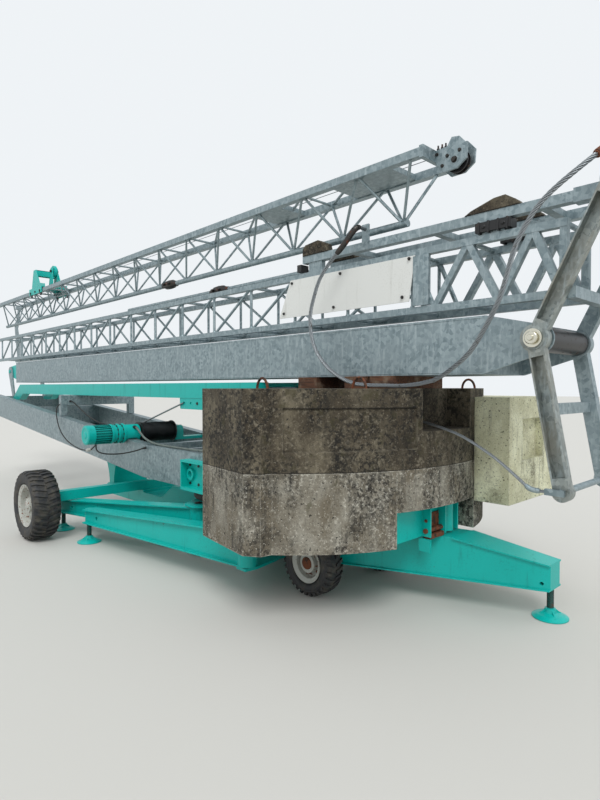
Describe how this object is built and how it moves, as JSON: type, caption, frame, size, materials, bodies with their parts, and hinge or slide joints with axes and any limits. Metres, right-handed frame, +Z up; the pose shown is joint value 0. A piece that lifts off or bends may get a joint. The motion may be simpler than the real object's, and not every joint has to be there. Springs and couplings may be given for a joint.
{
  "type": "folded self-erecting tower crane",
  "caption": "Self-erecting tower crane folded on its wheeled chassis, with box mast, lattice jib and tip section, trolley, outriggers, winch and concrete ballast.",
  "frame": {"origin": "on the ground, under the middle of the folded crane's length and width", "axes": "+X along the folded mast towards its head and the ballast, +Z up, +Y to the far side"},
  "size_m": [11.15, 2.98, 3.4683],
  "materials": {
    "turquoise_paint": "satin enamel",
    "dark_steel": "oiled",
    "rim_paint": "worn enamel",
    "tyre": "matte",
    "galvanised": "hot-dip galvanised, weathered",
    "black_steel": "satin",
    "concrete": "weathered",
    "mossy_concrete": "dark with moss",
    "pale_concrete": "weathered",
    "timber": "weathered",
    "board_paint": "satin",
    "wire_rope": "greased strands"
  },
  "bodies": {
    "chassis": {"chassis_frame": "turquoise_paint", "transport_post": "turquoise_paint", "slewing_ring": "dark_steel", "outrigger_near_left": "turquoise_paint", "outrigger_far_left": "turquoise_paint", "front_leg": "turquoise_paint"},
    "arm_near_right": {"outrigger_near_right": "turquoise_paint"},
    "arm_far_right": {"outrigger_far_right": "turquoise_paint"},
    "wheel_rear_near": {"rim_rear_near": "rim_paint", "tyre_rear_near": "tyre"},
    "wheel_rear_far": {"rim_rear_far": "rim_paint", "tyre_rear_far": "tyre"},
    "wheel_front_near": {"rim_front_near": "rim_paint", "tyre_front_near": "tyre"},
    "wheel_front_far": {"rim_front_far": "rim_paint", "tyre_front_far": "tyre"},
    "platform": {"slewing_ring_top": "dark_steel", "knee_beam_near": "galvanised", "knee_beam_far": "galvanised", "platform_cross": "galvanised", "mast_lugs": "galvanised", "ring_bracket": "turquoise_paint", "winch_motor": "turquoise_paint", "strut_near": "turquoise_paint", "strut_far": "turquoise_paint", "strut_frames": "turquoise_paint", "ballast_lower_near": "concrete", "ballast_lower_far": "concrete", "ballast_lower_end": "concrete", "ballast_upper": "mossy_concrete", "ballast_far": "pale_concrete", "timber_packing": "timber", "ballast_carrier": "turquoise_paint"},
    "drum": {"winch_drum": "black_steel"},
    "mast": {"mast_girder": "galvanised", "mast_foot": "turquoise_paint", "head_roller": "black_steel", "spreader_near": "galvanised", "spreader_far": "galvanised", "spreader_cross": "galvanised", "pendant_rope": "wire_rope"},
    "jib": {"jib_side_near": "galvanised", "jib_side_far": "galvanised", "jib_bracing": "galvanised", "fold_hinge": "galvanised", "jib_rails": "galvanised", "stay_bar": "galvanised", "sign_board": "board_paint", "rail_blocks": "mossy_concrete", "wire_rope": "wire_rope"},
    "tip": {"tip_side_near": "galvanised", "tip_side_far": "galvanised", "tip_chord": "galvanised", "tip_plan": "galvanised", "fold_plates": "galvanised", "tip_head": "galvanised", "tip_pulley": "black_steel"},
    "trolley": {"trolley_frame": "turquoise_paint"}
  },
  "joints": [
    {"name": "slew", "type": "hinge", "parent": "chassis", "child": "platform", "pos_m": [1.975, 0, 0.54], "axis": [0, 0, 1], "range_deg": [-75, 75]},
    {"name": "mast_raise", "type": "hinge", "parent": "platform", "child": "mast", "pos_m": [-4.325, 0, 1.8], "axis": [0, -1, 0], "range_deg": [0, 90]},
    {"name": "jib_raise", "type": "hinge", "parent": "mast", "child": "jib", "pos_m": [5.3, 0, 2.541], "axis": [0, 1, 0], "range_deg": [0, 90]},
    {"name": "tip_unfold", "type": "hinge", "parent": "jib", "child": "tip", "pos_m": [-5.5, 0, 2.735], "axis": [0, -1, 0], "range_deg": [0, 180]},
    {"name": "trolley_travel", "type": "slide", "parent": "tip", "child": "trolley", "axis": [1, 0, 0], "range_m": [-1.5, 6.4]},
    {"name": "arm_near_right_swing", "type": "hinge", "parent": "chassis", "child": "arm_near_right", "pos_m": [2.965, -0.72, 0.33], "axis": [0, 0, 1], "range_deg": [0, 120]},
    {"name": "arm_far_right_swing", "type": "hinge", "parent": "chassis", "child": "arm_far_right", "pos_m": [2.965, 0.72, 0.33], "axis": [0, 0, 1], "range_deg": [-120, 0]},
    {"name": "wheel_rear_near_spin", "type": "hinge", "parent": "chassis", "child": "wheel_rear_near", "pos_m": [0.355, -1.36, 0.345], "axis": [0, 1, 0], "continuous": true},
    {"name": "wheel_rear_far_spin", "type": "hinge", "parent": "chassis", "child": "wheel_rear_far", "pos_m": [0.355, 1.36, 0.345], "axis": [0, 1, 0], "continuous": true},
    {"name": "wheel_front_near_spin", "type": "hinge", "parent": "chassis", "child": "wheel_front_near", "pos_m": [3.34, -0.4, 0.24], "axis": [0, 1, 0], "continuous": true},
    {"name": "wheel_front_far_spin", "type": "hinge", "parent": "chassis", "child": "wheel_front_far", "pos_m": [3.34, 0.4, 0.24], "axis": [0, 1, 0], "continuous": true},
    {"name": "drum_spin", "type": "hinge", "parent": "platform", "child": "drum", "pos_m": [0.635, 0, 1.035], "axis": [0, 1, 0], "continuous": true}
  ]
}
